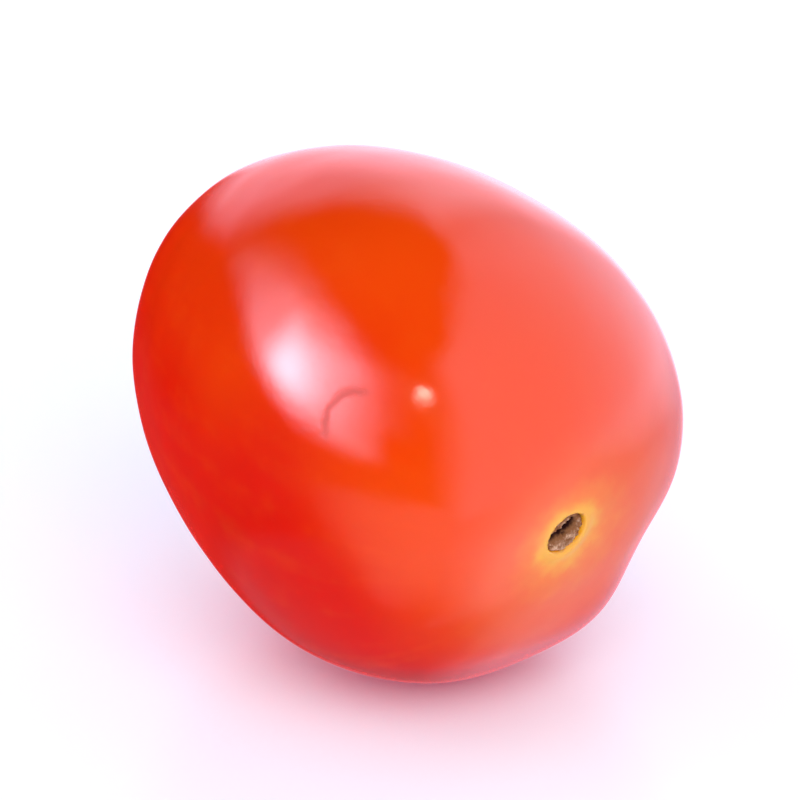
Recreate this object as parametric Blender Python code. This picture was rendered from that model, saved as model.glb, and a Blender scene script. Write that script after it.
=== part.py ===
"""A whole cherry tomato, plum-shaped, picked without its calyx and lying on its side.

Metres, +Z up. The stem end points along +X. The fruit is one piece: one closed solid, worked out as a distance
from its middle for every direction, with the stem scar and the blossom point as relief, and cut flat where it rests.
"""

import math

import bmesh
import bpy
from mathutils import Matrix, Vector

# Driving sizes, in metres
WAIST_RADIUS = 0.0129  # half the fruit's thickness
SLENDERNESS = 1.23  # length of the plain oval over its thickness
FLAT_DEPTH = 0.00035  # how much the resting side has settled flat
RIM_SNAP = 0.00004  # points this near the flat are put on it, so no sliver faces are left round its rim

# How the grown fruit departs from a plain oval, as shares of its radius
TAPER = 0.058  # fuller shoulders at the stem end, finer blossom end
OVAL = 0.039  # the cross-section is a little wider one way than the other
OVAL_TURN = math.radians(122.7)
BEND = 0.0214  # the two ends lean to opposite sides
BEND_TURN = math.radians(80.0)
LOBES = 0.0353  # three soft shoulders round the stem end
LOBES_TURN = math.radians(3.6)

# The stem end: a slanted shallow basin, a knuckle and a hollow beside it and the corky scar in its middle
SLANT = 0.00412
SLANT_TURN = math.radians(127.1)
SLANT_SPREAD = 0.60
BASIN_DEPTH = 0.00039
BASIN_SPREAD = 0.35
KNUCKLE_HEIGHT = 0.00048
KNUCKLE_FROM_STEM = math.radians(44.1)
KNUCKLE_TURN = math.radians(306.4)
KNUCKLE_SPREAD = 0.252
HOLLOW_DEPTH = 0.00044
HOLLOW_FROM_STEM = math.radians(45.1)
HOLLOW_TURN = math.radians(325.7)
HOLLOW_SPREAD = 0.243

SCAR_RADIUS = 0.00128
SCAR_STEP = 0.00022  # the cork lies this far under the lip of skin
LIP_HEIGHT = 0.00010
HOLE_RADIUS = 0.00050
HOLE_DEPTH = 0.00055

# The blossom end: the dry point left by the style
POINT_RADIUS = 0.00050
POINT_HEIGHT = 0.00022

# How it lies
STEM_DIP = math.radians(5.9)  # the stem end points this far below the level

# The mesh: segments round the stem axis, and rings along it that crowd at both ends
SEGMENTS = 72
RINGS = 64
CROWDING = 0.75

SKIN_COLOUR = (0.68, 0.018, 0.006, 1.0)
CORK_COLOUR = (0.38, 0.27, 0.16, 1.0)


def smooth_step(value, start, end):
    """0 before start, 1 after end, and a smooth S between them."""
    share = min(max((value - start) / (end - start), 0.0), 1.0)
    return share * share * (3.0 - 2.0 * share)


def bell(value, spread):
    """A bell curve of height 1."""
    return math.exp(-((value / spread) ** 2))


def angle_between(polar_a, turn_a, polar_b, turn_b):
    """The angle between two directions given from the stem axis and round it."""
    cosine = math.cos(polar_a) * math.cos(polar_b)
    cosine += math.sin(polar_a) * math.sin(polar_b) * math.cos(turn_a - turn_b)
    return math.acos(min(max(cosine, -1.0), 1.0))


def scar_relief(reach):
    """Height of the stem scar over the basin at a distance from its middle: lip, sunken cork ring and hole."""
    lip = LIP_HEIGHT * bell(reach - 1.15 * SCAR_RADIUS, 0.25 * SCAR_RADIUS)
    cork = -SCAR_STEP * (1.0 - smooth_step(reach, 0.80 * SCAR_RADIUS, 1.05 * SCAR_RADIUS))
    hole = -HOLE_DEPTH * (1.0 - smooth_step(reach, 0.40 * HOLE_RADIUS, 1.30 * HOLE_RADIUS))
    return lip + cork + hole


def fruit_radius(polar, turn):
    """Distance from the fruit's middle to its skin.

    polar is the angle from the stem axis, and turn the angle round it, from +Y towards +Z.
    """
    along, across = math.cos(polar), math.sin(polar)
    oval_body = WAIST_RADIUS / math.sqrt((along / SLENDERNESS) ** 2 + across**2)
    taper = 1.0 - TAPER * 0.5 * (5.0 * along**3 - 3.0 * along)
    grown = 1.0 + OVAL * across**2 * math.cos(2.0 * (turn - OVAL_TURN))
    grown += BEND * across**2 * along * math.cos(turn - BEND_TURN)
    grown += LOBES * across**3 * 0.5 * (1.0 + along) * math.cos(3.0 * (turn - LOBES_TURN))

    slant = SLANT * across * math.cos(turn - SLANT_TURN) * bell(polar, SLANT_SPREAD)
    basin = -BASIN_DEPTH * bell(polar, BASIN_SPREAD)
    from_knuckle = angle_between(polar, turn, KNUCKLE_FROM_STEM, KNUCKLE_TURN)
    knuckle = KNUCKLE_HEIGHT * bell(from_knuckle, KNUCKLE_SPREAD)
    from_hollow = angle_between(polar, turn, HOLLOW_FROM_STEM, HOLLOW_TURN)
    hollow = -HOLLOW_DEPTH * bell(from_hollow, HOLLOW_SPREAD)
    body = oval_body * taper * grown + slant + basin + knuckle + hollow

    point = POINT_HEIGHT * bell(body * (math.pi - polar), POINT_RADIUS)
    return body + point + scar_relief(body * polar)


def skin_place(polar, turn):
    """A point of the skin, with the stem axis along +X."""
    radius = fruit_radius(polar, turn)
    ring = radius * math.sin(polar)
    return Vector((radius * math.cos(polar), ring * math.cos(turn), ring * math.sin(turn)))


def shape_fruit(mesh):
    """Pulls a unit sphere out to the fruit's skin, its +Z pole becoming the stem end on +X."""
    for vertex in mesh.verts:
        even = math.acos(min(max(vertex.co.z, -1.0), 1.0))
        polar = even - CROWDING * 0.5 * math.sin(2.0 * even)
        turn = math.atan2(vertex.co.y, vertex.co.x)
        vertex.co = skin_place(polar, turn)


def mark_scar(mesh):
    """Gives the faces inside the scar the second material, while the stem axis is still along +X."""
    for face in mesh.faces:
        middle = face.calc_center_median()
        if middle.x > 0.0 and math.hypot(middle.y, middle.z) < SCAR_RADIUS:
            face.material_index = 1


def settle(mesh):
    """Tips the stem end down, cuts the resting side flat and sets the fruit on z = 0 over the origin."""
    bmesh.ops.transform(mesh, matrix=Matrix.Rotation(STEM_DIP, 4, "Y"), verts=mesh.verts)
    floor = min(vertex.co.z for vertex in mesh.verts) + FLAT_DEPTH
    for vertex in mesh.verts:
        if abs(vertex.co.z - floor) < RIM_SNAP:
            vertex.co.z = floor
    cut = bmesh.ops.bisect_plane(
        mesh,
        geom=mesh.verts[:] + mesh.edges[:] + mesh.faces[:],
        dist=1e-7,
        plane_co=(0.0, 0.0, floor),
        plane_no=(0.0, 0.0, -1.0),
        clear_outer=True,
    )
    rim = [item for item in cut["geom_cut"] if isinstance(item, bmesh.types.BMEdge)]
    bmesh.ops.contextual_create(mesh, geom=rim)
    middle = [
        0.5 * (min(vertex.co[k] for vertex in mesh.verts) + max(vertex.co[k] for vertex in mesh.verts))
        for k in range(2)
    ]
    bmesh.ops.translate(mesh, vec=(-middle[0], -middle[1], -floor), verts=mesh.verts)
    bmesh.ops.recalc_face_normals(mesh, faces=mesh.faces)


def make_material(name, colour, roughness):
    """A Principled material of one colour."""
    material = bpy.data.materials.new(name)
    material.use_nodes = True
    shader = material.node_tree.nodes["Principled BSDF"]
    shader.inputs["Base Color"].default_value = colour
    shader.inputs["Roughness"].default_value = roughness
    shader.inputs["Metallic"].default_value = 0.0
    return material


def build_fruit():
    """The whole fruit as one object."""
    mesh = bmesh.new()
    bmesh.ops.create_uvsphere(mesh, u_segments=SEGMENTS, v_segments=RINGS, radius=1.0)
    shape_fruit(mesh)
    mark_scar(mesh)
    settle(mesh)
    data = bpy.data.meshes.new("fruit")
    mesh.to_mesh(data)
    mesh.free()

    fruit = bpy.data.objects.new("fruit", data)
    bpy.context.scene.collection.objects.link(fruit)
    data.materials.append(make_material("tomato_skin", SKIN_COLOUR, 0.18))
    data.materials.append(make_material("scar_cork", CORK_COLOUR, 0.85))
    data.shade_smooth()
    return fruit


for old in list(bpy.data.objects):
    bpy.data.objects.remove(old)
build_fruit()
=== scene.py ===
"""The looks of a ripe plum-shaped cherry tomato that lies on a pale glossy surface.

The skin, the corky stem scar and the dry point at the blossom end are surfaces worked out as whole arrays
round one stem axis, on the same grown form as the CAD solid. Lengths are in metres, written in millimetres.
"""

from __future__ import annotations

import logging
import math
from dataclasses import dataclass, field
from enum import Enum
from typing import Any

import bpy
import numpy as np
from bpy.types import ID, Material, Node, NodeSocket, NodeTree, Object
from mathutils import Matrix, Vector

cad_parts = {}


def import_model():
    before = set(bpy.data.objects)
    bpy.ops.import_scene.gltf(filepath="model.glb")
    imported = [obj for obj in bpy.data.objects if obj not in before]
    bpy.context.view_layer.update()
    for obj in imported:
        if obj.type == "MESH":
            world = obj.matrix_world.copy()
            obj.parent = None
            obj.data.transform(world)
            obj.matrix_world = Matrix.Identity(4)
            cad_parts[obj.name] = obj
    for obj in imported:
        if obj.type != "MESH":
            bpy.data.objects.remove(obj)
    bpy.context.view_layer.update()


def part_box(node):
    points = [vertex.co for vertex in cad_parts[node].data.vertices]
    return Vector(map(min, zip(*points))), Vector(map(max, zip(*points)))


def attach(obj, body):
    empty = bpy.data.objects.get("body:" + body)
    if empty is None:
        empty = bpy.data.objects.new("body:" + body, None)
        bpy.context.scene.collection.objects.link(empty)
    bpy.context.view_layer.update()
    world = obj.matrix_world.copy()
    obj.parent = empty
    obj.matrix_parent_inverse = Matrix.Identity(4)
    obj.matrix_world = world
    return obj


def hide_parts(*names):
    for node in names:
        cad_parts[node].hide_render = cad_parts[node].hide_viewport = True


LOG = logging.getLogger("cherry_tomato")

FRUIT_NODE = "fruit"
BODY = "root"
MM = 0.001

# A span is a start and an end, and knots are places with their values
Span = tuple[float, float]
Knots = tuple[tuple[float, float], ...]

VIEW_AZIMUTH = 57.0
VIEW_ELEVATION = 25.0

# Sockets of a Mix node that blends colours
MIX_FACTOR, MIX_A, MIX_B, MIX_OUT = 0, 6, 7, 2


class Attribute(Enum):
    """Names of the values that the meshes carry for their materials."""

    # share of deep red, with painted light and shade on the flanks
    RIPENESS_AND_PAINTED_LIGHT = "ripeness_and_painted_light"
    REACH = "reach_mm"
    DEPTH = "depth_mm"
    GRAIN = "grain"
    GLOW = "glow"


def linear(hex_code: str) -> tuple[float, float, float, float]:
    """Turns an sRGB hex colour to the linear values that a shader takes.

    Args:
        hex_code: Six hex digits, such as "D4200A".

    Returns:
        Red, green, blue and an alpha of 1.
    """
    shares = [int(hex_code[k : k + 2], 16) / 255.0 for k in (0, 2, 4)]
    low = [share / 12.92 for share in shares]
    high = [((share + 0.055) / 1.055) ** 2.4 for share in shares]
    red, green, blue = [low[k] if shares[k] <= 0.04045 else high[k] for k in range(3)]
    return red, green, blue, 1.0


def add_node(
    tree: NodeTree, kind: str, inputs: dict[str | int, Any] | None = None, **settings: Any
) -> Node:
    """Adds a node with its settings, values and links.

    Args:
        tree: The node tree that gets the node.
        kind: The node's type name after "ShaderNode".
        inputs: Socket name or number to a value, or to the output socket that feeds it.
        **settings: The node's own properties.

    Returns:
        The new node.
    """
    node = tree.nodes.new("ShaderNode" + kind)
    for name, value in settings.items():
        setattr(node, name, value)
    for key, value in (inputs or {}).items():
        if isinstance(value, NodeSocket):
            tree.links.new(value, node.inputs[key])
        else:
            node.inputs[key].default_value = value
    return node


def new_material(name: str) -> tuple[Material, NodeTree]:
    """Makes a material without nodes.

    Args:
        name: The material's name.

    Returns:
        The material and its node tree.
    """
    material = bpy.data.materials.new(name)
    material.use_nodes = True
    material.node_tree.nodes.clear()
    return material, material.node_tree


def blend_by(
    tree: NodeTree,
    value: NodeSocket,
    span: Span,
    first: Any,
    second: Any,
    most: float = 1.0,
    smooth: bool = True,
) -> NodeSocket:
    """Goes from one colour to another as a value goes through a span.

    Args:
        tree: The node tree.
        value: The value.
        span: Where the second colour starts to show, and where it shows most.
        first: The colour before the span, or its socket.
        second: The colour after it, or its socket.
        most: The second colour's largest share.
        smooth: Whether it starts and ends softly, as smooth_step does.

    Returns:
        The blended colour.
    """
    share = add_node(
        tree,
        "MapRange",
        {"Value": value, "From Min": span[0], "From Max": span[1], "To Max": most},
        interpolation_type="SMOOTHSTEP" if smooth else "LINEAR",
    )
    colours = {MIX_FACTOR: share.outputs["Result"], MIX_A: first, MIX_B: second}
    return add_node(tree, "Mix", colours, data_type="RGBA").outputs[MIX_OUT]


def new_object(name: str, data: ID) -> Object:
    """Makes an object and links it to the scene.

    Args:
        name: The object's name.
        data: Its mesh, light or camera.

    Returns:
        The new object.
    """
    made = bpy.data.objects.new(name, data)
    bpy.context.scene.collection.objects.link(made)
    return made


def full_turn(count: int) -> np.ndarray:
    """Evenly spaced angles of a full turn, from 0 up to but not at 2π."""
    return np.linspace(0.0, 2.0 * math.pi, count, endpoint=False)


def towards(azimuth: float | np.ndarray, elevation: float | np.ndarray) -> np.ndarray:
    """Unit vectors to an azimuth a and an elevation e: (cos e · sin a, -cos e · cos a, sin e).

    Args:
        elevation: Elevations in degrees.

    Returns:
        The vectors, with xyz last.
    """
    around, up = np.radians(azimuth), np.radians(elevation)
    return np.stack([np.cos(up) * np.sin(around), -np.cos(up) * np.cos(around), np.sin(up)], axis=-1)


def ball_grid(rows: int, columns: int) -> tuple[np.ndarray, np.ndarray]:
    """Directions of the points of a ball's rings, from the top down.

    Args:
        rows: Number of rings, with both poles.
        columns: Points in a ring.

    Returns:
        Azimuths and elevations in degrees, as (ring, place in the ring).
    """
    elevation, azimuth = np.meshgrid(
        np.linspace(90.0, -90.0, rows), np.degrees(full_turn(columns)), indexing="ij"
    )
    return azimuth, elevation


def smooth_step(values: np.ndarray, start: float, end: float) -> np.ndarray:
    """0 up to start, 1 past end, either way round, and 3t² - 2t³ at the share t of the way."""
    share = np.clip((values - start) / (end - start), 0.0, 1.0)
    return share * share * (3.0 - 2.0 * share)


def bell(values: np.ndarray, spread: float) -> np.ndarray:
    """A bell curve of height 1: e to the power of minus (value / spread) squared."""
    return np.exp(-((values / spread) ** 2))


@dataclass(frozen=True)
class Waves:
    """Uneven relief: a sum of plane sine waves in seeded directions, with wavelengths spread over a range.

    The height at p is amplitude · √(2/n) · Σ sin(2π p·d / λ + φ) over the n waves, with unit directions d.
    """

    shortest: float
    longest: float
    amplitude: float
    seed: int
    count: int = 24

    def height(self, points: np.ndarray) -> np.ndarray:
        """Height of the relief at each point.

        Args:
            points: Places, with x, y and z last.

        Returns:
            One height for each point.
        """
        draw = np.random.default_rng(self.seed)
        directions = draw.normal(size=(3, self.count))
        directions /= np.linalg.norm(directions, axis=0)
        lengths = np.exp(draw.uniform(math.log(self.shortest), math.log(self.longest), self.count))
        phases = draw.uniform(0.0, 2.0 * math.pi, self.count)
        waves = np.sin(2.0 * math.pi * (points @ directions) / lengths + phases)
        return self.amplitude * math.sqrt(2.0 / self.count) * waves.sum(axis=-1)


def closed_surface(name: str, rings: np.ndarray) -> Object:
    """Makes a closed mesh object from rings of points round an axis.

    Neighbouring rings are joined by quads. The first and the last ring, whose points all coincide, become
    one pole point each, with a fan of triangles. Faces point outwards where the rings run from the +axis end
    to the other end and their points turn anticlockwise seen from outside the +axis end.

    Args:
        name: The object's name.
        rings: Points as (ring, place in the ring, xyz).

    Returns:
        The new object, linked to the scene and shaded smooth.
    """
    count, around = rings.shape[0] - 2, rings.shape[1]
    points = np.vstack([rings[0, :1], rings[1:-1].reshape(-1, 3), rings[-1, :1]])
    here = np.arange(around)
    after = np.roll(here, -1)
    starts = 1 + np.arange(count - 1)[:, None] * around
    below = starts + around
    quads = np.stack([starts + here, below + here, below + after, starts + after], axis=-1)
    last = 1 + (count - 1) * around
    top = np.stack([np.zeros_like(here), 1 + here, 1 + after], axis=-1)
    bottom = np.stack([last + after, last + here, np.full_like(here, len(points) - 1)], axis=-1)
    mesh = bpy.data.meshes.new(name)
    mesh.from_pydata(points.tolist(), [], quads.reshape(-1, 4).tolist() + top.tolist() + bottom.tolist())
    mesh.shade_smooth()
    return new_object(name, mesh)


def give_values(piece: Object, attribute: Attribute, values: np.ndarray) -> None:
    """Stores a value or a vector for each point of a closed surface.

    Args:
        piece: An object made by closed_surface.
        attribute: The value's name.
        values: The values on the rings that the surface was made from, with xyz last for a vector.
    """
    is_vector = values.ndim == 3
    flat = values[1:-1].reshape(-1, 3) if is_vector else values[1:-1].reshape(-1)
    column = np.concatenate([values[0, :1], flat, values[-1, :1]])
    kind, key = ("FLOAT_VECTOR", "vector") if is_vector else ("FLOAT", "value")
    layer = piece.data.attributes.new(attribute.value, kind, "POINT")
    layer.data.foreach_set(key, column.astype(np.float32).ravel())


@dataclass
class FruitForm:
    """The grown form of the fruit, as a distance from its middle for every direction.

    A direction is a polar angle from the stem axis and a turn round it, from +Y towards +Z. The distance is
    an oval's, R = waist / √((cos p / slenderness)² + sin² p), times a taper, a wider way, a lean and three
    lobes, plus a slanted basin with a knuckle and a hollow beside it, each a bell with its height, polar
    angle, turn and spread. The stem end is then tipped down, and the form lowered until its underside is
    settled flat.
    """

    waist_radius: float = 12.9 * MM
    slenderness: float = 1.23
    taper: float = 0.058
    oval: float = 0.039
    oval_turn: float = math.radians(122.7)
    bend: float = 0.0214
    bend_turn: float = math.radians(80.0)
    lobes: float = 0.0353
    lobes_turn: float = math.radians(3.6)
    slant: float = 4.12 * MM
    slant_turn: float = math.radians(127.1)
    slant_spread: float = 0.60
    basin_depth: float = 0.39 * MM
    basin_spread: float = 0.35
    knuckle: tuple[float, float, float, float] = (0.48 * MM, math.radians(44.1), math.radians(306.4), 0.252)
    hollow: tuple[float, float, float, float] = (-0.44 * MM, math.radians(45.1), math.radians(325.7), 0.243)
    stem_dip: float = math.radians(5.9)
    scar_polar: float = 0.026
    scar_turn: float = math.radians(90.0)
    rim_softness: float = 0.08 * MM
    fit_steps: int = 361
    shift: np.ndarray = field(default_factory=lambda: np.zeros(3))

    def radius(self, polar: np.ndarray, turn: np.ndarray) -> np.ndarray:
        """Distance from the fruit's middle to its plain skin.

        Args:
            polar: Angles from the stem axis.
            turn: Angles round the stem axis.

        Returns:
            The distances.
        """
        along, across = np.cos(polar), np.sin(polar)
        oval_body = self.waist_radius / np.sqrt((along / self.slenderness) ** 2 + across**2)
        taper = 1.0 - self.taper * 0.5 * (5.0 * along**3 - 3.0 * along)
        grown = 1.0 + self.oval * across**2 * np.cos(2.0 * (turn - self.oval_turn))
        grown = grown + self.bend * across**2 * along * np.cos(turn - self.bend_turn)
        grown = grown + self.lobes * across**3 * 0.5 * (1.0 + along) * np.cos(3.0 * (turn - self.lobes_turn))
        slant = self.slant * across * np.cos(turn - self.slant_turn) * bell(polar, self.slant_spread)
        basin = -self.basin_depth * bell(polar, self.basin_spread)
        body = oval_body * taper * grown + slant + basin
        for height, from_stem, side, spread in (self.knuckle, self.hollow):
            cosine = along * math.cos(from_stem) + across * math.sin(from_stem) * np.cos(turn - side)
            body = body + height * bell(np.arccos(np.clip(cosine, -1.0, 1.0)), spread)
        return body

    def tip(self, places: np.ndarray, way: float = 1.0) -> np.ndarray:
        """Turns places about Y by the stem's dip.

        Args:
            places: Points with xyz last.
            way: 1 to lower the +X end, -1 to raise it.

        Returns:
            The turned points.
        """
        cosine, sine = math.cos(self.stem_dip), way * math.sin(self.stem_dip)
        x, y, z = places[..., 0], places[..., 1], places[..., 2]
        return np.stack([cosine * x + sine * z, y, -sine * x + cosine * z], axis=-1)

    def place(self, polar: np.ndarray, turn: np.ndarray) -> np.ndarray:
        """Points of the plain skin, tipped and lowered but not yet flattened.

        Args:
            polar: Angles from the stem axis.
            turn: Angles round the stem axis.

        Returns:
            The points, with xyz last.
        """
        radius = self.radius(polar, turn)
        ring = radius * np.sin(polar)
        upright = np.stack([radius * np.cos(polar), ring * np.cos(turn), ring * np.sin(turn)], axis=-1)
        return self.tip(upright) + self.shift

    def skin_under(self, points: np.ndarray) -> np.ndarray:
        """The plain skin's points in the same directions from the fruit's middle as the given points.

        Args:
            points: Places with xyz last, anywhere but the middle.

        Returns:
            The points on the skin.
        """
        away = self.tip(points - self.shift, way=-1.0)
        x, y, z = away[..., 0], away[..., 1], away[..., 2]
        return self.place(np.arctan2(np.hypot(y, z), x), np.arctan2(z, y))

    def fit_to(self, lowest: Vector, highest: Vector) -> None:
        """Sets the shift so that the form fills the CAD solid's box, whose bottom is the flat spot.

        Args:
            lowest: The box's lowest corner.
            highest: The box's highest corner.
        """
        half_turn = np.linspace(0.0, math.pi, self.fit_steps)
        polar, turn = np.meshgrid(half_turn, 2.0 * half_turn)
        places = self.place(polar, turn).reshape(-1, 3)
        middle = 0.5 * (places.min(axis=0) + places.max(axis=0))
        wanted = 0.5 * (np.array(lowest) + np.array(highest))
        self.shift = self.shift + wanted - middle
        self.shift[2] += highest.z - (places[:, 2].max() + wanted[2] - middle[2])

    def settle(self, places: np.ndarray) -> np.ndarray:
        """Presses what is under the floor flat onto it.

        Height z becomes 0 below minus the softness s, (z + s)² / 4s up to s, and stays as it is above, which
        leaves a flat spot with a soft rim.

        Args:
            places: Points with xyz last.

        Returns:
            The pressed points.
        """
        soft = self.rim_softness
        height = places[..., 2]
        rounded = np.clip(height + soft, 0.0, None) ** 2 / (4.0 * soft)
        pressed = places.copy()
        pressed[..., 2] = np.where(height > soft, height, rounded)
        return pressed

    def stem_end(self) -> tuple[np.ndarray, np.ndarray]:
        """Where the stem sat, and the slanted basin's outward normal there.

        The slant adds slant · sin p · cos(turn - its turn) to the distance R at the pole, so the surface
        leans by slant / R against that side.

        Returns:
            The point and the unit normal.
        """
        stem = self.place(np.full(1, self.scar_polar), np.full(1, self.scar_turn))[0]
        lean = self.slant / float(self.radius(np.zeros(1), np.zeros(1))[0])
        side = [1.0, -lean * math.cos(self.slant_turn), -lean * math.sin(self.slant_turn)]
        normal = self.tip(np.array(side))
        return stem, normal / np.linalg.norm(normal)

    def blossom_end(self) -> tuple[np.ndarray, np.ndarray]:
        """Where the style sat, and the outward direction there."""
        pole = self.place(np.full(1, math.pi), np.zeros(1))[0]
        return pole, self.tip(np.array([-1.0, 0.0, 0.0]))


def spokes(normal: np.ndarray, turn: float | np.ndarray) -> np.ndarray:
    """Unit vectors square to a normal: cos turn times a level one and sin turn times a rising one.

    Args:
        normal: A unit vector that isn't upright.
        turn: Angles, anticlockwise seen from outside.

    Returns:
        The vectors, with xyz last.
    """
    level = np.cross([0.0, 0.0, 1.0], normal)
    level /= np.linalg.norm(level)
    return np.cos(turn)[..., None] * level + np.sin(turn)[..., None] * np.cross(normal, level)


@dataclass(frozen=True)
class TomatoSkinFinish:
    """Ripe tomato skin: a clear, smooth waxy cuticle over red flesh.

    The wax gives a glassy reflection with soft edges, and the wet flesh under it glows a little where light
    passes. The colour runs from orange-red round the stem end to a deeper red tip, with an unripe ring round
    the scar. The upper flank keeps the orange as painted light, and the lower flank the deeper red as painted
    shade.
    Each layer of the ring, from the halo in to the brown edge, has the distances in millimetres from the scar
    at which it starts to fade and ends, and its colour.
    """

    # orange of the stem end, also painted light on the upper flank; deep red of the tip, also painted shade
    # on the lower flank
    shoulder_and_lit_flank: str = "F34902"
    deep: str = "E21602"
    mottle: str = "F55406"
    mottle_size: float = 1.9 * MM
    mottle_range: Span = (0.20, 0.48)
    mottle_share: float = 0.16
    ring: tuple[tuple[float, float, str], ...] = (
        (2.4, 8.5, "F4600A"),
        (2.2, 4.6, "F77E12"),
        (1.90, 3.00, "FAAE26"),
        (1.50, 1.74, "8A4A1C"),
    )
    ring_waver_size: float = 1.1 * MM
    ring_waver: float = 1.1
    roughness: float = 0.115
    ior: float = 1.45
    flesh_share: float = 0.25
    flesh_depth: float = 1.6 * MM
    flesh_colours: tuple[float, float, float] = (1.0, 0.16, 0.06)
    cell: float = 0.38 * MM
    cell_height: float = 0.004 * MM
    scuff_radius: float = 1.60 * MM
    scuff_width: float = 0.42 * MM
    scuff_depth: float = 0.007 * MM
    scuff_waver: float = 0.3 * MM
    scuff_ends: Span = (0.2, 0.75)
    scuff_roughness: float = 0.30
    # painted shade: the darker red laid along the scuff's crease
    scuff_shade: str = "B8341C"

    def build(self, scuff: np.ndarray, scuff_side: np.ndarray) -> Material:
        """Makes the material.

        Args:
            scuff: Middle of the arc-shaped scuff.
            scuff_side: Unit vector from there to the middle of the arc.

        Returns:
            The skin material, which reads Object coordinates and the attributes for the deep red share with
            its painted light and shade, reach and grain.
        """
        material, tree = new_material("ripe_tomato_skin")
        place = add_node(tree, "TexCoord").outputs["Object"]
        colour = self.stem_ring(tree, place, self.ripe_colour(tree, place))
        cells = add_node(
            tree, "TexNoise", {"Vector": place, "Scale": 1.0 / self.cell, "Detail": 1.0}
        ).outputs["Fac"]
        scuffed = self.scuff_arc(tree, place, cells, scuff, scuff_side)
        roughness = add_node(
            tree, "Math", {0: scuffed, 1: self.scuff_roughness, 2: self.roughness}, operation="MULTIPLY_ADD"
        )
        pebbled = add_node(tree, "Bump", {"Height": cells, "Distance": self.cell_height})
        # painted shade: the scuff's crease is darkened in colour
        scuff_shaded = add_node(
            tree, "Mix", {MIX_FACTOR: scuffed, MIX_A: colour, MIX_B: linear(self.scuff_shade)}, data_type="RGBA"
        )
        crease = {"Height": scuffed, "Distance": self.scuff_depth}
        crease["Normal"] = pebbled.outputs["Normal"]
        creased = add_node(tree, "Bump", crease, invert=True)
        shader = add_node(
            tree,
            "BsdfPrincipled",
            {
                "Base Color": scuff_shaded.outputs[MIX_OUT],
                "Roughness": roughness.outputs[0],
                "IOR": self.ior,
                "Subsurface Weight": self.flesh_share,
                "Subsurface Radius": self.flesh_colours,
                "Subsurface Scale": self.flesh_depth,
                "Normal": creased.outputs["Normal"],
            },
        )
        add_node(tree, "OutputMaterial", {"Surface": shader.outputs["BSDF"]})
        return material

    def scuff_arc(
        self, tree: NodeTree, place: NodeSocket, cells: NodeSocket, middle: np.ndarray, side: np.ndarray
    ) -> NodeSocket:
        """1 along the arc of the scuff, 0 away from it.

        It is a soft band at the arc's radius from the middle, faded out away from the arc's own side, between
        two shares of that radius, and made to waver a little by the cells.

        Args:
            tree: The material's node tree.
            place: Object coordinates.
            cells: Noise at the size of the skin's cells, round 0.5.
            middle: Middle of the arc's circle.
            side: Unit vector from the middle to the middle of the arc.

        Returns:
            The band.
        """
        offset = add_node(
            tree, "VectorMath", {0: place, 1: tuple(map(float, middle))}, operation="SUBTRACT"
        ).outputs["Vector"]
        reach = add_node(tree, "VectorMath", {0: offset}, operation="LENGTH").outputs["Value"]
        wavy = add_node(
            tree, "Math", {0: cells, 1: self.scuff_waver, 2: reach}, operation="MULTIPLY_ADD"
        ).outputs[0]
        middle_reach = self.scuff_radius + 0.5 * self.scuff_waver
        gap = add_node(tree, "Math", {0: wavy, 1: middle_reach}, operation="SUBTRACT")
        width = add_node(tree, "Math", {0: gap.outputs[0]}, operation="ABSOLUTE")
        band = add_node(
            tree,
            "MapRange",
            {"Value": width.outputs[0], "From Max": self.scuff_width, "To Min": 1.0, "To Max": 0.0},
            interpolation_type="SMOOTHSTEP",
        )
        along = add_node(
            tree, "VectorMath", {0: offset, 1: tuple(map(float, side))}, operation="DOT_PRODUCT"
        ).outputs["Value"]
        start, full = [share * self.scuff_radius for share in self.scuff_ends]
        kept = add_node(
            tree,
            "MapRange",
            {"Value": along, "From Min": start, "From Max": full},
            interpolation_type="SMOOTHSTEP",
        )
        return add_node(
            tree, "Math", {0: band.outputs["Result"], 1: kept.outputs["Result"]}, operation="MULTIPLY"
        ).outputs[0]

    def ripe_colour(self, tree: NodeTree, place: NodeSocket) -> NodeSocket:
        """Colour by the share of deep red, with its painted light and shade, soft mottling and faint streaks
        along the fruit.

        Args:
            tree: The material's node tree.
            place: Object coordinates.

        Returns:
            The colour.
        """
        ripeness_and_painted_light = add_node(tree, "Attribute", attribute_name=Attribute.RIPENESS_AND_PAINTED_LIGHT.value).outputs["Fac"]
        grain = add_node(tree, "Attribute", attribute_name=Attribute.GRAIN.value).outputs["Vector"]
        body = add_node(
            tree,
            "Mix",
            {MIX_FACTOR: ripeness_and_painted_light, MIX_A: linear(self.shoulder_and_lit_flank), MIX_B: linear(self.deep)},
            data_type="RGBA",
        )
        mottle = add_node(
            tree, "TexNoise", {"Vector": place, "Scale": 1.0 / self.mottle_size, "Detail": 2.0}
        )
        streaks = add_node(tree, "TexNoise", {"Vector": grain, "Scale": 1.0, "Detail": 1.0})
        both = add_node(
            tree, "Math", {0: mottle.outputs["Fac"], 1: streaks.outputs["Fac"]}, operation="MULTIPLY"
        )
        ripe, pale = body.outputs[MIX_OUT], linear(self.mottle)
        return blend_by(tree, both.outputs[0], self.mottle_range, ripe, pale, self.mottle_share)

    def stem_ring(self, tree: NodeTree, place: NodeSocket, colour: NodeSocket) -> NodeSocket:
        """Lays the unripe ring round the stem scar over a colour, from its wide halo in to its brown edge.

        Args:
            tree: The material's node tree.
            place: Object coordinates.
            colour: The colour away from the scar.

        Returns:
            The colour with the ring.
        """
        reach = add_node(tree, "Attribute", attribute_name=Attribute.REACH.value).outputs["Fac"]
        uneven = add_node(
            tree, "TexNoise", {"Vector": place, "Scale": 1.0 / self.ring_waver_size, "Detail": 2.0}
        )
        wobbled = add_node(
            tree, "Math", {0: uneven.outputs["Fac"], 1: self.ring_waver, 2: reach}, operation="MULTIPLY_ADD"
        )
        for start, end, layer in self.ring:
            colour = blend_by(tree, wobbled.outputs[0], (start, end), linear(layer), colour)
        return colour


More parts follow.
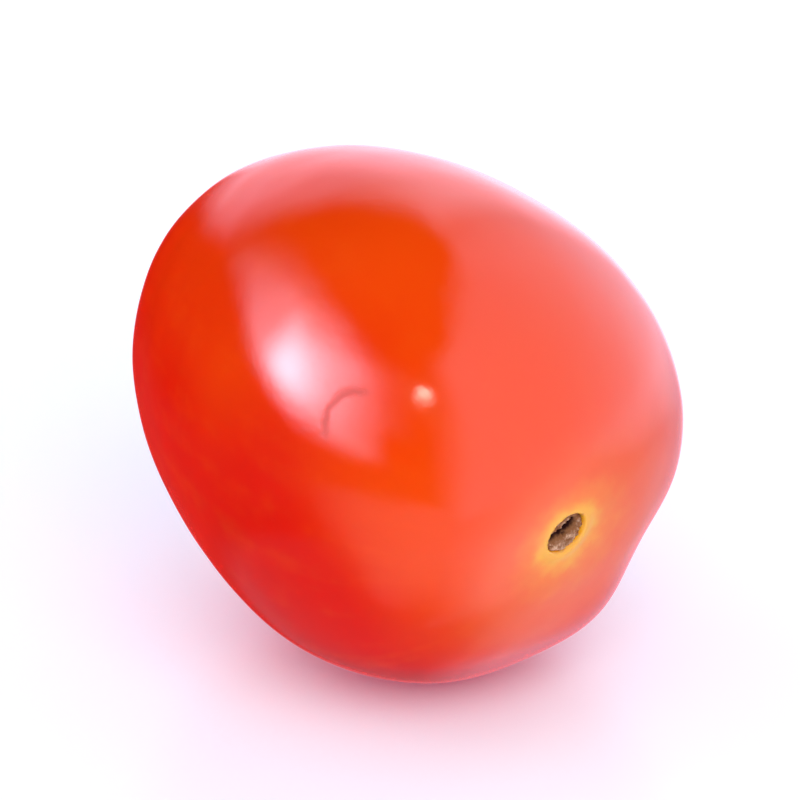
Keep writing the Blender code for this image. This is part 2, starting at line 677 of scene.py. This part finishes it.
@dataclass(frozen=True)
class CorkFinish:
    """Scar cork: dry healed tissue, matt and crumbly, pale on its crumbs and dark in its pits, partly as torn
    tissue and partly as painted shade.

    The crown's colour turns pale as the crumbs' noise, less its depth in millimetres times a share, goes
    through the pale range. Both turn dark as that depth, made ragged by the noise, goes through the dark one.
    """

    name: str = "scar_cork"
    pale: str = "E6BD9C"
    crown: str = "90603C"
    dark: str = "2A0E0A"
    crumb: float = 0.28 * MM
    crumb_height: float = 0.09 * MM
    paler_with_height: float = 1.6
    pale_range: Span = (0.28, 0.76)
    raggedness: float = 0.12
    dark_range: Span = (0.22, 0.42)
    roughness: float = 0.9
    ior: float = 1.25

    def build(self) -> Material:
        """Makes the material.

        Returns:
            The cork material, which reads Object coordinates and the attribute depth.
        """
        material, tree = new_material(self.name)
        place = add_node(tree, "TexCoord").outputs["Object"]
        depth = add_node(tree, "Attribute", attribute_name=Attribute.DEPTH.value).outputs["Fac"]
        crumbs = add_node(
            tree, "TexNoise", {"Vector": place, "Scale": 1.0 / self.crumb, "Detail": 6.0, "Roughness": 0.62}
        )
        raised = add_node(
            tree,
            "Math",
            {0: depth, 1: -self.paler_with_height, 2: crumbs.outputs["Fac"]},
            operation="MULTIPLY_ADD",
        )
        dry = blend_by(tree, raised.outputs[0], self.pale_range, linear(self.crown), linear(self.pale))
        ragged = add_node(
            tree, "Math", {0: crumbs.outputs["Fac"], 1: self.raggedness, 2: depth}, operation="MULTIPLY_ADD"
        )
        # darker the deeper the cork lies: partly the torn tissue's own dark, partly painted shade in the pits
        colour = blend_by(tree, ragged.outputs[0], self.dark_range, dry, linear(self.dark))
        bump = add_node(tree, "Bump", {"Height": crumbs.outputs["Fac"], "Distance": self.crumb_height})
        shader = add_node(
            tree,
            "BsdfPrincipled",
            {
                "Base Color": colour,
                "Roughness": self.roughness,
                "IOR": self.ior,
                "Normal": bump.outputs["Normal"],
            },
        )
        add_node(tree, "OutputMaterial", {"Surface": shader.outputs["BSDF"]})
        return material


@dataclass
class FruitSkin:
    """The whole skin as one closed surface, with the socket that the stem scar sits in."""

    form: FruitForm
    rings: int = 250
    around: int = 384
    stem_crowding: float = 1.5
    tip_crowding: float = 1.2
    socket_inner: float = 0.98 * MM
    socket_outer: float = 1.22 * MM
    socket_depth: float = 0.84 * MM
    lip_radius: float = 1.42 * MM
    lip_width: float = 0.32 * MM
    lip_height: float = 0.05 * MM
    ring_shift: float = 0.5
    ring_shift_end: float = 6.0 * MM
    ring_shift_turn: float = math.radians(-45.0)
    nub_radius: float = 0.50 * MM
    nub_height: float = 0.20 * MM
    streaks_round: float = 9.0
    streaks_along: float = 0.8
    # the flank at this turn is painted orange as painted light, the flank opposite it deeper red as painted
    # shade
    painted_light_turn: float = math.radians(85.0)
    painted_light_start: Span = (0.3, 1.1)
    tip_ripening: float = 0.25
    full_deep_red: float = 0.70
    scuff_polar: float = math.radians(50.0)
    scuff_turn: float = math.radians(145.6)
    scuff_bearing: float = math.radians(-14.0)
    dent_depth: float = 0.03 * MM
    dent_radius: float = 1.9 * MM
    patches: Waves = Waves(shortest=6.0 * MM, longest=16.0 * MM, amplitude=0.05, seed=3)
    unevenness: Waves = Waves(shortest=4.0 * MM, longest=11.0 * MM, amplitude=0.022 * MM, seed=7)
    ripple: Waves = Waves(shortest=1.8 * MM, longest=3.5 * MM, amplitude=0.0028 * MM, seed=11, count=40)
    finish: TomatoSkinFinish = TomatoSkinFinish()

    def grid(self) -> tuple[np.ndarray, np.ndarray]:
        """Polar angles and turns of the surface's points.

        With s from 0 to 1 and x = s^a, y = (1 - s)^b, the polar angle is π x / (x + y), which crowds the
        rings near both ends.

        Returns:
            The polar angles and the turns, as (ring, place in the ring).
        """
        share = np.linspace(0.0, 1.0, self.rings)
        from_stem = share**self.stem_crowding
        from_tip = (1.0 - share) ** self.tip_crowding
        polar = math.pi * from_stem / (from_stem + from_tip)
        return np.meshgrid(polar, full_turn(self.around), indexing="ij")

    def stem_relief(self, reach: np.ndarray) -> np.ndarray:
        """Height along the scar's normal at a distance from its middle: a lip of skin round a sunk socket."""
        lip = self.lip_height * bell(reach - self.lip_radius, self.lip_width)
        return lip - self.socket_depth * (1.0 - smooth_step(reach, self.socket_inner, self.socket_outer))

    def ripeness_and_painted_light(self, polar: np.ndarray, turn: np.ndarray, places: np.ndarray) -> np.ndarray:
        """Share of deep red: orange at the stem end and on the upper flank as painted light, deeper red on
        the lower flank as painted shade and towards the tip.

        It rises with the polar angle and with the angle from the painted-light flank, plus seeded patches.

        Args:
            polar: Polar angles.
            turn: Turns.
            places: The skin's points.

        Returns:
            Values from 0 to 1.
        """
        painted_shade_share = (0.5 - 0.5 * np.cos(turn - self.painted_light_turn)) * smooth_step(polar, *self.painted_light_start)
        # painted light and shade: orange on the painted-light flank, deeper red away from it
        value = self.tip_ripening * polar / math.pi + painted_shade_share + self.patches.height(places)
        return smooth_step(value, 0.0, self.full_deep_red)

    def ring_reach(
        self, places: np.ndarray, reach: np.ndarray, stem: np.ndarray, normal: np.ndarray
    ) -> np.ndarray:
        """Distance from the scar as the unripe ring counts it, which makes the ring wider at its lower right.

        Past the lip it is shorter towards that side, and longer towards the other, by a share of itself.

        Args:
            places: The skin's points.
            reach: Their distances from the scar's middle.
            stem: The scar's middle.
            normal: The scar's normal.

        Returns:
            The distances.
        """
        to_side = (places - stem) @ spokes(normal, self.ring_shift_turn) / np.maximum(reach, MM)
        return reach - self.ring_shift * np.clip(reach - self.lip_radius, 0.0, self.ring_shift_end) * to_side

    def scuff_place(self) -> tuple[np.ndarray, np.ndarray]:
        """Middle of the scuff's circle and the direction from there to its arc.

        The direction is the bearing turned from the way of growing polar angle towards that of growing turn.

        Returns:
            The point and the unit vector.
        """
        step = 0.02
        polar = self.scuff_polar + np.array([0.0, step, 0.0])
        turn = self.scuff_turn + np.array([0.0, 0.0, step])
        middle, down, around = self.form.place(polar, turn)
        ways = [way / np.linalg.norm(way) for way in (down - middle, around - middle)]
        side = math.cos(self.scuff_bearing) * ways[0] + math.sin(self.scuff_bearing) * ways[1]
        return middle, side / np.linalg.norm(side)

    def build(self) -> Object:
        """Makes the skin.

        Returns:
            The finished object, which stands for the CAD fruit.
        """
        polar, turn = self.grid()
        plain = self.form.place(polar, turn)
        stem, stem_normal = self.form.stem_end()
        tip, tip_normal = self.form.blossom_end()
        reach = np.linalg.norm(plain - stem, axis=-1)
        outwards = plain - self.form.shift
        outwards /= np.linalg.norm(outwards, axis=-1, keepdims=True)
        nub = self.nub_height * bell(np.linalg.norm(plain - tip, axis=-1), self.nub_radius)
        places = plain + self.stem_relief(reach)[..., None] * stem_normal + nub[..., None] * tip_normal
        scuff, scuff_side = self.scuff_place()
        dent = self.dent_depth * bell(np.linalg.norm(plain - scuff, axis=-1), self.dent_radius)
        uneven = self.unevenness.height(plain) + self.ripple.height(plain) - dent
        places = places + uneven[..., None] * outwards
        skin = closed_surface("fruit_skin", self.form.settle(places))
        give_values(skin, Attribute.RIPENESS_AND_PAINTED_LIGHT, self.ripeness_and_painted_light(polar, turn, plain))
        give_values(skin, Attribute.REACH, self.ring_reach(plain, reach, stem, stem_normal) / MM)
        circle = np.stack([np.cos(turn), np.sin(turn)], axis=-1)
        grain = np.concatenate([self.streaks_round * circle, self.streaks_along * polar[..., None]], axis=-1)
        give_values(skin, Attribute.GRAIN, grain)
        skin.data.materials.append(self.finish.build(scuff, scuff_side))
        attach(skin, BODY)
        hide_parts(FRUIT_NODE)
        return skin


@dataclass
class StemScar:
    """The corky disc left where the stem broke off: a low rim round torn tissue with lumps and pits that are
    darker, partly as painted shade.

    A lump or pit is a bell, in millimetres: its place along and aside of the scar's slanting axis, its radius
    and its height.
    The underside's bulge and the crumbly face end at their shares of the outer radius.
    """

    form: FruitForm
    outer: float = 1.24 * MM
    rim_radius: float = 0.96 * MM
    rim_width: float = 0.20 * MM
    rim_height: float = 0.05 * MM
    bed: float = 0.13 * MM
    long_axis: float = math.radians(45.0)
    bells: tuple[tuple[float, float, float, float], ...] = (
        (-0.58, 0.52, 0.24, -0.34),
        (-0.14, 0.34, 0.24, -0.38),
        (0.36, 0.18, 0.28, -0.46),
        (0.74, 0.22, 0.18, -0.28),
        (-0.80, -0.04, 0.26, 0.14),
        (-0.34, -0.20, 0.20, 0.08),
        (0.14, -0.46, 0.30, 0.14),
        (-0.10, -0.10, 0.12, -0.20),
    )
    edge_start: float = 1.04 * MM
    edge_drop: float = 0.16 * MM
    thickness: float = 0.30 * MM
    bulge: float = 0.8
    crumbly: float = 0.9
    rings: int = 110
    rings_under: int = 16
    around: int = 220
    crumble: Waves = Waves(shortest=0.14 * MM, longest=0.60 * MM, amplitude=0.034 * MM, seed=21, count=60)
    finish: CorkFinish = CorkFinish()

    def top(self, reach: np.ndarray, turn: np.ndarray) -> np.ndarray:
        """Height of the scar's face over the basin.

        It is a bed with a bell-shaped rim, the lumps and the pits. Its edge dives under the lip of skin.

        Args:
            reach: Distances from the scar's middle.
            turn: Angles round it.

        Returns:
            The heights.
        """
        along, aside = reach * np.cos(turn - self.long_axis), reach * np.sin(turn - self.long_axis)
        height = self.rim_height * bell(reach - self.rim_radius, self.rim_width) - self.bed
        for bell_along, bell_aside, radius, rise in MM * np.array(self.bells):
            height = height + rise * bell(np.hypot(along - bell_along, aside - bell_aside), radius)
        edge = self.edge_drop * smooth_step(reach, self.edge_start, self.outer)
        return height - edge

    def build(self) -> Object:
        """Makes the scar.

        Returns:
            The finished object, a closed lens that fills the skin's socket.
        """
        stem, normal = self.form.stem_end()
        out = np.linspace(0.0, self.outer, self.rings)
        back = np.linspace(self.outer, 0.0, self.rings_under)[1:]
        reach, turn = np.meshgrid(np.concatenate([out, back]), full_turn(self.around), indexing="ij")
        height = self.top(reach, turn)
        edge = self.top(np.full(1, self.outer), np.zeros(1))[0]
        under = edge - self.thickness * bell(reach, self.bulge * self.outer)
        height[len(out) :] = under[len(out) :]
        flat = stem + reach[..., None] * spokes(normal, turn)
        skin = self.form.skin_under(flat)
        rough = self.crumble.height(flat) * (1.0 - smooth_step(reach, self.crumbly * self.outer, self.outer))
        rough[len(out) :] = 0.0
        places = skin + (height + rough)[..., None] * normal
        scar = closed_surface("stem_scar", places)
        # the depth darkens the cork, partly as painted shade in the pits
        give_values(scar, Attribute.DEPTH, -(height + rough) / MM)
        scar.data.materials.append(self.finish.build())
        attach(scar, BODY)
        return scar


@dataclass
class StylePoint:
    """The dry point that the style left at the blossom end."""

    form: FruitForm
    base_radius: float = 0.26 * MM
    sunk: float = 0.10 * MM
    proud: float = 0.34 * MM
    squeeze: float = 0.45
    root_depth: float = 0.35
    rings: int = 48
    around: int = 64
    fray: Waves = Waves(shortest=0.12 * MM, longest=0.35 * MM, amplitude=0.016 * MM, seed=5, count=30)
    finish: CorkFinish = CorkFinish(name="dry_style", pale="8A6A42", crown="5A3A22", crumb=0.09 * MM)

    def build(self) -> Object:
        """Makes the point.

        Its radius is base · √(1 - h²) · (1 - squeeze · (1 + h) / 2), with h from -1 at its root to 1 at its
        tip. Its root is as dark as cork that lies root_depth millimetres deep, a painted shade where it meets
        the skin.

        Returns:
            The finished object.
        """
        pole, normal = self.form.blossom_end()
        way, turn = np.meshgrid(np.linspace(1.0, -1.0, self.rings), full_turn(self.around), indexing="ij")
        risen = 0.5 * (1.0 + way)
        bow = np.sqrt(1.0 - way**2)
        radius = self.base_radius * bow * (1.0 - self.squeeze * risen)
        height = -self.sunk + (self.sunk + self.proud) * risen
        ring = spokes(normal, turn)
        places = pole + radius[..., None] * ring + height[..., None] * normal
        places = places + (self.fray.height(places) * bow)[..., None] * (ring + normal)
        point = closed_surface("style_point", places)
        # painted shade: the root, where it meets the skin, gets a depth that darkens it
        give_values(point, Attribute.DEPTH, self.root_depth * (1.0 - risen))
        point.data.materials.append(self.finish.build())
        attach(point, BODY)
        return point


def glowing_ball(name: str, rings: np.ndarray, glow: np.ndarray, seen_by: str) -> None:
    """Makes a ball that glows, and that one kind of ray alone can see.

    Args:
        name: The ball's name, and its material's.
        rings: Its points, as closed_surface takes them.
        glow: Its linear colour at each point.
        seen_by: The kind of ray.
    """
    ball = closed_surface(name, rings)
    give_values(ball, Attribute.GLOW, glow)
    for kind in ("camera", "diffuse", "glossy", "transmission", "volume_scatter", "shadow"):
        setattr(ball, f"visible_{kind}", kind == seen_by)
    material, tree = new_material(name)
    tint = add_node(tree, "Attribute", attribute_name=Attribute.GLOW.value).outputs["Color"]
    shine = add_node(tree, "Emission", {"Color": tint, "Strength": 1.0})
    add_node(tree, "OutputMaterial", {"Surface": shine.outputs["Emission"]})
    material.cycles.emission_sampling = "NONE"
    ball.data.materials.append(material)


@dataclass(frozen=True)
class SoftBox:
    """A soft-edged patch of light on the surround, in degrees of bearing and elevation.

    Bearings count from the camera, positive to its right, and may run past 180. The bearing range holds where
    the light starts, where it is full, where it starts to fall and where it ends. The lower and the upper
    edge are lines through (bearing, elevation) knots, and the softness is the half width of each. A hot spot
    may be brighter than the rest: its extra level, bearing, elevation and radius.
    """

    level: float
    bearing: tuple[float, float, float, float]
    lower: Knots
    upper: Knots
    softness: Span = (4.0, 6.0)
    hot_spot: tuple[float, float, float, float] = (0.0, 0.0, 0.0, 1.0)

    def brightness(self, bearing: np.ndarray, elevation: np.ndarray) -> np.ndarray:
        """Brightness in each direction: a smooth step at each of the four edges, times level and hot spot.

        Args:
            bearing: Bearings in degrees.
            elevation: Elevations in degrees.

        Returns:
            The brightness.
        """
        start, full, fall, end = self.bearing
        around = start + (bearing - start) % 360.0
        window = smooth_step(around, start, full) * (1.0 - smooth_step(around, fall, end))
        over = elevation - np.interp(around, *zip(*self.lower))
        below = np.interp(around, *zip(*self.upper)) - elevation
        for room, softness in zip((over, below), self.softness):
            window = window * smooth_step(room, -softness, softness)
        extra, hot_bearing, hot_elevation, radius = self.hot_spot
        away = np.hypot(around - hot_bearing, elevation - hot_elevation)
        return window * (self.level + extra * bell(away, radius))


@dataclass(frozen=True)
class Surround:
    """The room as the gloss shows it: soft boxes and a faint red patch on a large ball, and the pale table.

    The table holds (bearing, level) knots, and its low levels on the left are painted shade. It starts below
    the horizon and fades further down as painted shadow, where the level under the fruit, also painted
    shadow, takes over.
    Each edge holds the elevations where it starts and where it is full.
    """

    radius: float = 0.8
    rows: int = 121
    columns: int = 240
    tint: str = "F4E5FF"
    lights: tuple[SoftBox, ...] = (
        SoftBox(
            level=2.1,
            bearing=(-11, 19, 130, 200),
            lower=((0, -34), (90, -28), (130, -20), (165, -22), (200, -14)),
            upper=((0, 55), (40, 71), (85, 75), (125, 70), (150, 62), (170, 52), (200, 40)),
            softness=(12, 7),
        ),
        SoftBox(
            level=1.1,
            bearing=(158, 172, 200, 226),
            lower=((158, -20), (168, -29), (181, -29), (190, -6), (206, 4), (222, 14)),
            upper=((158, 58), (170, 48), (180, 40), (192, 36), (206, 33), (222, 24)),
            softness=(4, 8),
        ),
        SoftBox(
            level=6.0,
            bearing=(-144, -84, -52, -25),
            lower=((-140, 17), (-122, 22), (-108, 18), (-96, 13), (-72, 7), (-40, 1)),
            upper=((-140, 32), (-120, 40), (-104, 46), (-66, 49), (-30, 42)),
            softness=(6, 9),
            hot_spot=(14, -77, 19, 13),
        ),
        SoftBox(
            level=9.5,
            bearing=(-98, -78, -73, -40),
            lower=((-98, 17), (-84, 13.5), (-48, 10)),
            upper=((-106, 41), (-48, 41)),
            softness=(8, 10),
        ),
        SoftBox(
            level=1.1,
            bearing=(-60, -44, -32, -10),
            lower=((-60, 14), (-10, 20)),
            upper=((-60, 44), (-10, 42)),
            softness=(6, 8),
        ),
    )
    blush: SoftBox = SoftBox(
        level=0.9,
        bearing=(-212, -186, -120, -76),
        lower=((-212, -44), (-150, -40), (-76, -24)),
        upper=((-212, 8), (-160, 26), (-130, 14), (-76, 0)),
        softness=(8, 12),
    )
    blush_tint: str = "E6200A"
    table: Knots = (
        (-180, 0.25), (-170, 0.04), (-62, 0.04), (-44, 0.75), (-20, 0.95), (4, 1.05), (28, 1.6),
        (64, 2.3), (80, 2.2), (96, 1.5), (112, 1), (160, 0.85), (180, 0.25),
    )
    table_edge: Span = (-14.0, -22.0)
    table_fade: float = 0.8
    fade_edge: Span = (-50.0, -82.0)
    under: float = 0.20
    under_edge: Span = (-34.0, -44.0)

    def brightness(self, bearing: np.ndarray, elevation: np.ndarray) -> np.ndarray:
        """Brightness in each direction.

        It is the sum of the soft boxes or, where that is more, the table.

        Args:
            bearing: Bearings in degrees.
            elevation: Elevations in degrees.

        Returns:
            The brightness.
        """
        upper = sum(light.brightness(bearing, elevation) for light in self.lights)
        fade = 1.0 - self.table_fade * smooth_step(elevation, *self.fade_edge)
        table = np.interp(bearing, *zip(*self.table)) * fade
        under = self.under * smooth_step(elevation, *self.under_edge)
        lower = np.maximum(table, under) * smooth_step(elevation, *self.table_edge)
        return np.maximum(upper, lower)

    def build(self) -> None:
        """Makes the ball, which shows in gloss alone."""
        azimuth, elevation = ball_grid(self.rows, self.columns)
        bearing = (azimuth - VIEW_AZIMUTH + 180.0) % 360.0 - 180.0
        glow = 0.0
        for patch, tint in ((self, self.tint), (self.blush, self.blush_tint)):
            glow = glow + patch.brightness(bearing, elevation)[..., None] * np.array(linear(tint)[:3])
        glowing_ball("surround", self.radius * towards(azimuth, elevation), glow, seen_by="glossy")


@dataclass(frozen=True)
class Lamp:
    """A round soft lamp aimed at the origin, which lights matt surfaces or else shows in gloss.

    Its bearing and elevation are in degrees, its distance and size in metres, its power in watts.
    """

    name: str
    bearing: float
    elevation: float
    distance: float
    size: float
    power: float
    tint: str
    in_gloss: bool

    def build(self) -> None:
        """Makes the lamp."""
        away = Vector(towards(VIEW_AZIMUTH + self.bearing, self.elevation))
        data = bpy.data.lights.new(self.name, "AREA")
        data.shape = "DISK"
        data.size = self.size
        data.energy = self.power
        data.color = linear(self.tint)[:3]
        lamp = new_object(self.name, data)
        lamp.location = away * self.distance
        lamp.rotation_euler = away.to_track_quat("Z", "Y").to_euler()
        lamp.visible_camera = False
        lamp.visible_glossy = self.in_gloss
        lamp.visible_diffuse = not self.in_gloss


@dataclass
class Studio:
    """The pale glossy floor, the backdrop, the soft lights and the camera.

    The floor glows faintly. Close to the fruit, where the share of open sky falls through the painted shadow
    range,
    the glow turns to a dark reddish tint: a painted contact shadow, tinted as painted red light off the
    fruit.
    """

    aim: Vector
    frame_width: float = 40.0 * MM
    camera_distance: float = 500.0 * MM
    sensor: float = 36.0
    floor_radius: float = 1.3
    floor_corners: int = 96
    backdrop_radius: float = 1.4
    backdrop_rows: int = 33
    backdrop_columns: int = 64
    floor_colour: str = "E8F2F6"
    floor_tint: str = "DAE8FC"
    floor_glow: float = 0.34
    floor_roughness: float = 0.26
    floor_ior: float = 1.38
    # painted contact shadow: its tint, reach, range and samples
    painted_shadow_tint: str = "A0507C"
    painted_shadow_reach: float = 9.0 * MM
    painted_shadow_range: Span = (0.12, 0.56)
    painted_shadow_samples: int = 4
    ambient: float = 0.72
    ambient_tint: str = "E4E2F4"
    surround: Surround = Surround()
    lamps: tuple[Lamp, ...] = (
        Lamp("front", 16.0, 41.0, 0.60, 0.50, 1.6, "FFFBFA", in_gloss=False),
        Lamp("back", 150.0, 42.0, 0.60, 0.50, 0.25, "FFFBFA", in_gloss=False),
        Lamp("left", 252.0, 48.0, 0.60, 0.50, 0.4, "FFFBFA", in_gloss=False),
        Lamp("glint", -9.5, 36.0, 0.50, 0.054, 0.16, "FFE4D2", in_gloss=True),
    )

    def build(self) -> None:
        """Makes everything in the studio."""
        self.floor()
        self.backdrop()
        self.surround.build()
        for lamp in self.lamps:
            lamp.build()
        self.world()
        self.camera()
        bpy.context.scene.view_settings.view_transform = "Standard"

    def floor(self) -> None:
        """A pale glossy disc at z = 0."""
        turn = full_turn(self.floor_corners)
        rim = np.stack([np.cos(turn), np.sin(turn), np.zeros_like(turn)], axis=-1) * self.floor_radius
        mesh = bpy.data.meshes.new("floor")
        mesh.from_pydata(rim.tolist(), [], [list(range(len(turn)))])
        floor = new_object("floor", mesh)
        material, tree = new_material("white_acrylic")
        # painted contact shadow: the glow turns to the shadow tint where the fruit hides the sky
        open_sky = add_node(
            tree, "AmbientOcclusion", {"Distance": self.painted_shadow_reach}, samples=self.painted_shadow_samples
        ).outputs["AO"]
        tints = linear(self.painted_shadow_tint), linear(self.floor_tint)
        glow = blend_by(tree, open_sky, self.painted_shadow_range, *tints, smooth=False)
        shader = add_node(
            tree,
            "BsdfPrincipled",
            {
                "Base Color": linear(self.floor_colour),
                "Roughness": self.floor_roughness,
                "IOR": self.floor_ior,
                "Emission Color": glow,
                "Emission Strength": self.floor_glow,
            },
        )
        add_node(tree, "OutputMaterial", {"Surface": shader.outputs["BSDF"]})
        material.cycles.emission_sampling = "NONE"
        mesh.materials.append(material)
        floor.visible_glossy = False

    def backdrop(self) -> None:
        """A white ball that only the camera sees, so that every view ends in white."""
        azimuth, elevation = ball_grid(self.backdrop_rows, self.backdrop_columns)
        rings = self.backdrop_radius * towards(azimuth, elevation)
        glowing_ball("backdrop", rings, np.ones_like(rings), seen_by="camera")

    def world(self) -> None:
        """Soft cool light from everywhere, which the surround keeps out of the gloss."""
        world = bpy.data.worlds.new("studio")
        world.use_nodes = True
        background = world.node_tree.nodes["Background"]
        background.inputs["Color"].default_value = linear(self.ambient_tint)
        background.inputs["Strength"].default_value = self.ambient
        bpy.context.scene.world = world

    def camera(self) -> None:
        """A long lens at the photograph's bearing and height of view, aimed at the fruit's middle."""
        back = Vector(towards(VIEW_AZIMUTH, VIEW_ELEVATION))
        data = bpy.data.cameras.new("camera")
        data.sensor_width = self.sensor
        data.lens = self.sensor * self.camera_distance / self.frame_width
        data.clip_start = 0.01
        data.clip_end = 10.0
        camera = new_object("camera", data)
        camera.location = self.aim + back * self.camera_distance
        camera.rotation_euler = (-back).to_track_quat("-Z", "Y").to_euler()
        bpy.context.scene.camera = camera


def main() -> None:
    """Builds the fruit, its scar and point, and the studio round them."""
    logging.basicConfig(level=logging.INFO, format="%(name)s: %(message)s")
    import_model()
    lowest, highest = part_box(FRUIT_NODE)
    form = FruitForm()
    form.fit_to(lowest, highest)
    for part in (FruitSkin(form), StemScar(form), StylePoint(form)):
        piece = part.build()
        LOG.info("%s: %d faces", piece.name, len(piece.data.polygons))
    Studio(aim=(lowest + highest) / 2.0).build()


if __name__ == "__main__":
    main()
